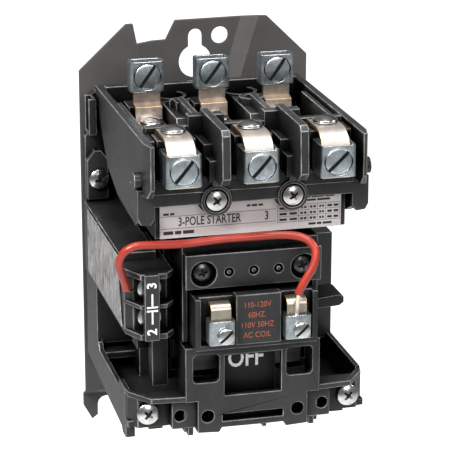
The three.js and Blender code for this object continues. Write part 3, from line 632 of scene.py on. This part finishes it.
def crossed(node, material, slot, height, angle):
    """A domed screw with a cross recess that narrows towards its bottom."""
    low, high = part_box(node)
    centre = (low + high) / 2
    radius = (high.x - low.x) / 2
    shank, dome = 0.45 * radius, 0.45 * height * MM
    made = turned(node + "_turned", head_profile(radius, height * MM, high.y - low.y, shank, dome))
    reach, half, deep = 0.66 * radius, 0.15 * radius, 0.72 * height * MM
    narrowing = 0.45
    tools = []
    for quarter in (0, 90):
        turn = Matrix.Rotation(math.radians(angle + quarter), 4, "Z")
        tool = block("arm", (-reach, -half, -deep), (reach, half, MM), turn)
        for vert in tool.data.vertices:
            if vert.co.z < 0:
                vert.co.x *= narrowing
                vert.co.y *= narrowing
        tools.append(tool)
    hub = turned("hub", [(0, -deep * 1.15), (0.14 * radius, -deep), (0.3 * radius, MM), (0, MM)], 16)
    carve(made, *tools, hub)
    dress(made, material, SHADOW)
    for polygon in made.data.polygons:
        spot = polygon.center
        if spot.xy.length < 0.6 * radius and -0.95 * height * MM < spot.z < -0.3 * height * MM:
            polygon.material_index = EDGE
    place(made, Vector((centre.x, low.y, centre.z)), FACING_FRONT)
    shade(made, 40)
    finished(made, "starter_body", slot, node)


for row, angles in SLOT_ANGLES.items():
    for side, angle in zip(SIDES, angles):
        screw = f"{row}_lug_screw_{side}"
        slotted(screw, ZINC, "zinc", screw, height=1.5, angle=angle)
        slotted(f"{row}_strap_screw_{side}", NICKEL, "nickel", "starter_body", height=2.1, angle=-42,
                dome=1.1, upright=True, shank=1.9)
for side in PAIR:
    screw = f"coil_lug_screw_{side}"
    slotted(screw, NICKEL, "zinc", screw, height=1.2, angle=42, dome=0.3, shank=1.5, width=0.95)
    for kind, (material, slot_name, height, angle) in CROSSED_SCREWS.items():
        crossed(f"{kind}_{side}", material, slot_name, height, angle)
for level in ("upper", "lower"):
    screw = f"aux_terminal_screw_{level}"
    slotted(screw, NICKEL, "nickel", screw, height=1.5, angle=52, dome=0.4, shank=1.8)


# ---- terminal lugs ------------------------------------------------------------------------------
LUG_WALL = 0.95 * MM
LUG_CORNER, LUG_INNER_CORNER = 1.35 * MM, 0.5 * MM
SCREW_CLEARANCE = 0.22 * MM
COIL_LUG_HOLE = 1.9 * MM


def rounded_rectangle(low, high, radius, steps=5):
    """The outline, anticlockwise, of a rectangle in (x, y) with rounded corners."""
    points = []
    centres = (
        (high.x - radius, high.y - radius),
        (low.x + radius, high.y - radius),
        (low.x + radius, low.y + radius),
        (high.x - radius, low.y + radius),
    )
    for index, (x, y) in enumerate(centres):
        for step in range(steps + 1):
            angle = math.radians(90 * index + 90 * step / steps)
            points.append((x + radius * math.cos(angle), y + radius * math.sin(angle)))
    return points


def cage(node, screw, hole_radius):
    """A lug folded from strip: a box tube, open above and below, with a hole for its screw."""
    low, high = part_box(node)
    wall = Vector((LUG_WALL, LUG_WALL))
    outer = rounded_rectangle(low.xy, high.xy, LUG_CORNER)
    inner = rounded_rectangle(low.xy + wall, high.xy - wall, LUG_INNER_CORNER)
    bm = bmesh.new()
    loops = []
    for outline in (outer, inner):
        for z in (low.z, high.z):
            loops.append([bm.verts.new((x, y, z)) for x, y in outline])
    outer_low, outer_high, inner_low, inner_high = loops
    count = len(outer)
    for i in range(count):
        j = (i + 1) % count
        bm.faces.new((outer_low[i], outer_low[j], outer_high[j], outer_high[i]))
        bm.faces.new((inner_low[j], inner_low[i], inner_high[i], inner_high[j]))
        bm.faces.new((outer_high[i], outer_high[j], inner_high[j], inner_high[i]))
        bm.faces.new((outer_low[j], outer_low[i], inner_low[i], inner_low[j]))
    made = new_object(node + "_folded", bm)
    screw_low, screw_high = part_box(screw)
    spot = (screw_low + screw_high) / 2
    reach = 3 * MM
    hole = turned("hole", [(0, -reach), (hole_radius, -reach), (hole_radius, reach), (0, reach)], 40)
    place(hole, Vector((spot.x, low.y, spot.z)), FACING_FRONT)
    carve(made, hole)
    # The rounded edges take the lighter zinc, a painted highlight.
    dress(made, ZINC, ZINC_HIGHLIGHT)
    rounding(made, radius=0.22).angle_limit = math.radians(40)
    bake(made)
    shade(made)
    finished(made, "starter_body", "zinc", node)


for side in SIDES:
    for row in ("load", "line"):
        screw = f"{row}_lug_screw_{side}"
        screw_low, screw_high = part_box(screw)
        cage(f"{row}_lug_{side}", screw, (screw_high.x - screw_low.x) / 2 + SCREW_CLEARANCE)
for side in PAIR:
    cage(f"coil_lug_{side}", f"coil_lug_screw_{side}", COIL_LUG_HOLE)


# ---- straps -------------------------------------------------------------------------------------
def strap(node, face, slot):
    """A bent strip: plated faces, and bare brass where it was sheared."""
    made = moulded(node, face, slot, radius=0.12, angle=40, edge=BRASS)
    for polygon in made.data.polygons:
        if abs(polygon.normal.x) > 0.6:
            polygon.material_index = EDGE


for side in SIDES:
    strap(f"load_strap_{side}", TINNED, "tinned_brass")
    strap(f"line_strap_{side}", BRONZE, "bronze")
for side in PAIR:
    strap(f"coil_strap_{side}", COIL_TIN, "tinned_brass")


# ---- mouldings, plate and magnet ----------------------------------------------------------------
for node in ("contact_block", "base_housing", "coil_cover", "aux_contact_block"):
    moulded(node, PHENOLIC, "phenolic", edge=PHENOLIC_HIGHLIGHT)
moulded("coil", RESIN, "coil_resin", radius=0.35, edge=RESIN_HIGHLIGHT)
moulded("contact_carrier", CARRIER, "carrier_plastic", "carrier", edge=RESIN_HIGHLIGHT)
moulded("aux_plunger", CARRIER, "carrier_plastic", "aux_plunger")
moulded("mounting_plate", PLATE, "plate_paint", radius=0.2)
moulded("magnet_yoke", LAMINATION, "steel", radius=0.15)
moulded("armature", LAMINATION, "steel", "carrier", radius=0.15)
moulded("nameplate", FOIL, "label_foil", radius=0.04)
moulded("side_label", SIDE_FOIL, "label_foil", radius=0.04)
for side in SIDES:
    moulded(f"moving_contact_{side}", NICKEL, "nickel", "carrier", radius=0.12)
    moulded(f"contact_spring_{side}", STEEL, "steel", "carrier", radius=0.05, angle=60)


# ---- print --------------------------------------------------------------------------------------
INK_THICKNESS = 0.03
# Points of the ink nearer than this, in metres, are one point.
SAME_INK_POINT = 1e-6


def front_of(node, gap=0.03):
    """The depth in mm of print that floats a gap in front of a node."""
    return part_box(node)[0].y / MM - gap


def bars(name, boxes, depth, material, slot):
    """Printed bars and lines, each (x0, x1, z0, z1) in mm, on a face that looks to the front."""
    bm = bmesh.new()
    for x0, x1, z0, z1 in boxes:
        add_box(bm, Vector((x0, depth - INK_THICKNESS, z0)) * MM, Vector((x1, depth, z1)) * MM)
    made = new_object(name, bm)
    dress(made, material)
    finished(made, "starter_body", slot)


def cut_off_above(mesh, height):
    """Removes what rises above a height, and closes the cut."""
    bm = bmesh.new()
    bm.from_mesh(mesh)
    bmesh.ops.remove_doubles(bm, verts=bm.verts, dist=SAME_INK_POINT)
    geometry = [*bm.verts, *bm.edges, *bm.faces]
    top, upwards = (0, 0, height), (0, 0, 1)
    bmesh.ops.bisect_plane(bm, geom=geometry, plane_co=top, plane_no=upwards, clear_outer=True)
    bmesh.ops.holes_fill(bm, edges=[edge for edge in bm.edges if edge.is_boundary])
    bm.to_mesh(mesh)
    bm.free()


def lettering(name, text, size, spot, material, slot, body="starter_body", upwards=False, squeeze=1.0,
              bold=0.0, highest=None):
    """Generic lettering on a face that looks to the front. Upwards text reads from bottom to top.

    The size, the spot of its middle, the boldness and the highest point that it may reach are in mm.
    """
    font = bpy.data.curves.new(name, "FONT")
    font.body = text
    font.size = size * MM
    font.align_x, font.align_y = "CENTER", "CENTER"
    font.extrude = INK_THICKNESS / 2 * MM
    font.offset = bold * MM
    font.resolution_u = 3
    source = bpy.data.objects.new(name + "_source", font)
    bpy.context.scene.collection.objects.link(source)
    graph = bpy.context.evaluated_depsgraph_get()
    mesh = bpy.data.meshes.new_from_object(source.evaluated_get(graph))
    bpy.data.objects.remove(source)
    made = bpy.data.objects.new(name, mesh)
    bpy.context.scene.collection.objects.link(made)
    turn = FACING_FRONT @ Matrix.Rotation(math.radians(90 if upwards else 0), 4, "Z")
    place(made, Vector(spot) * MM, turn @ Matrix.Diagonal((squeeze, 1, 1, 1)))
    if highest:
        cut_off_above(mesh, highest * MM)
    dress(made, material)
    finished(made, body, slot)


def small_print(x, z, widths, height=0.75, gap=0.45):
    """A line of print too small to read: one bar for each word."""
    boxes = []
    for width in widths:
        boxes.append((x, x + width, z - height / 2, z + height / 2))
        x += width + gap
    return boxes


# The nameplate: a title between two rules on the left, and small print around a table on the right.
plate_low, plate_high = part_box("nameplate")
LEFT, RIGHT, BOTTOM = plate_low.x / MM, plate_high.x / MM, plate_low.z / MM
PLATE_FRONT = front_of("nameplate", 0.02)
TITLE_FRONT = PLATE_FRONT - INK_THICKNESS / 2
TITLE_SIZE, TITLE_Z = 4.3, BOTTOM + 5.5
TEXT_LEFT = LEFT + 1.2
TABLE_LEFT, TABLE_RIGHT, TABLE_BOTTOM = 9.2, RIGHT - 0.5, BOTTOM + 2.6
RULE_LEFT, RULE_RIGHT = LEFT + 0.3, TABLE_LEFT - 0.6
RULE_HEIGHTS, RULE_WIDTH = (7.6, 3.3), 0.18
GRID_WIDTH = 0.14
COLUMNS = (TABLE_LEFT, 16.6, 20, 23.3, 26.2, TABLE_RIGHT)
ROWS, ROW_HEIGHT = 3, 2.0
CELL_MARGIN, CELL_SPARE = 0.7, 1.2

lines = []
for height in RULE_HEIGHTS:
    lines.append((RULE_LEFT, RULE_RIGHT, BOTTOM + height, BOTTOM + height + RULE_WIDTH))
for row in range(ROWS + 1):
    z = TABLE_BOTTOM + ROW_HEIGHT * row
    lines.append((TABLE_LEFT, TABLE_RIGHT, z, z + GRID_WIDTH))
for x in COLUMNS:
    lines.append((x, x + GRID_WIDTH, TABLE_BOTTOM, TABLE_BOTTOM + ROWS * ROW_HEIGHT))

words = [
    *small_print(TEXT_LEFT, BOTTOM + 8.5, (1.9, 1.5)),
    *small_print(TEXT_LEFT, BOTTOM + 1.9, (3.4, 2.2, 3.8), height=1.2, gap=0.6),
    *small_print(-1.6, BOTTOM + 9.6, (1.3, 1.9, 1.6)),
    *small_print(17.6, BOTTOM + 11.2, (3.2, 4.4, 3.3), height=0.7),
    *small_print(18.6, BOTTOM + 10, (4.2, 4.6), height=0.7),
    *small_print(20.2, BOTTOM + 1.5, (2.6, 1.6, 3.2), height=0.8),
]
for row in range(ROWS):
    middle = TABLE_BOTTOM + ROW_HEIGHT * (row + 0.5)
    for start, end in zip(COLUMNS, COLUMNS[1:]):
        span = end - start - CELL_SPARE
        word, gap = 0.42 * span, 0.16 * span
        words += small_print(start + CELL_MARGIN, middle, (word, word), height=0.8, gap=gap)

bars("nameplate_lines", lines, PLATE_FRONT, GREY_INK, "label_foil")
bars("nameplate_words", words, PLATE_FRONT, BLACK_INK, "label_foil")
lettering("nameplate_title", "3-POLE STARTER", TITLE_SIZE, (-14.6, TITLE_FRONT, TITLE_Z), BLACK_INK,
          "label_foil", squeeze=0.68, bold=0.07)
lettering("nameplate_poles", "3", TITLE_SIZE, (5.4, TITLE_FRONT, TITLE_Z), BLACK_INK, "label_foil",
          squeeze=0.7, bold=0.07)

# The ratings on the coil.
COIL_TEXT = ("110-120V", "60HZ.", "110V 50HZ", "AC COIL")
COIL_TEXT_SIZE = 2.9
COIL_TEXT_X, COIL_TEXT_TOP, COIL_TEXT_PITCH = -0.5, -52.4, 3.6
for index, text in enumerate(COIL_TEXT):
    spot = (COIL_TEXT_X, front_of("coil"), COIL_TEXT_TOP - COIL_TEXT_PITCH * index)
    lettering(f"coil_line_{index + 1}", text, COIL_TEXT_SIZE, spot, ORANGE_INK, "coil_resin",
              squeeze=0.86, bold=0.02)

# The OFF legend on the carrier's flag, cut off just below the flag's upper edge.
OFF_SIZE, OFF_X, OFF_Z, OFF_TOP = 9.2, -1.2, -76.4, -74.9
lettering("off_legend", "OFF", OFF_SIZE, (OFF_X, front_of("contact_carrier"), OFF_Z), WHITE_INK,
          "carrier_plastic", body="carrier", squeeze=0.8, bold=0.16, highest=OFF_TOP)

# The terminal numbers and the sign for an open contact, on the rib of the auxiliary block.
RIB_X, RIB_FRONT = -35.6, front_of("aux_contact_block")
NUMBER_SIZE = 4.6
for level, number, z in (("upper", "3", -44.6), ("lower", "2", -61.2)):
    lettering(f"legend_{level}", number, NUMBER_SIZE, (RIB_X, RIB_FRONT, z), WHITE_INK, "phenolic",
              upwards=True, bold=0.12)
CONTACT_HALF, LEAD_HALF = 1.9, 0.3
contact_sign = []
for low, high in ((-52.7, -52.1), (-54, -53.4)):
    contact_sign.append((RIB_X - CONTACT_HALF, RIB_X + CONTACT_HALF, low, high))
for low, high in ((-52.2, -47.6), (-58.4, -53.9)):
    contact_sign.append((RIB_X - LEAD_HALF, RIB_X + LEAD_HALF, low, high))
bars("legend_contact", contact_sign, RIB_FRONT, WHITE_INK, "phenolic")
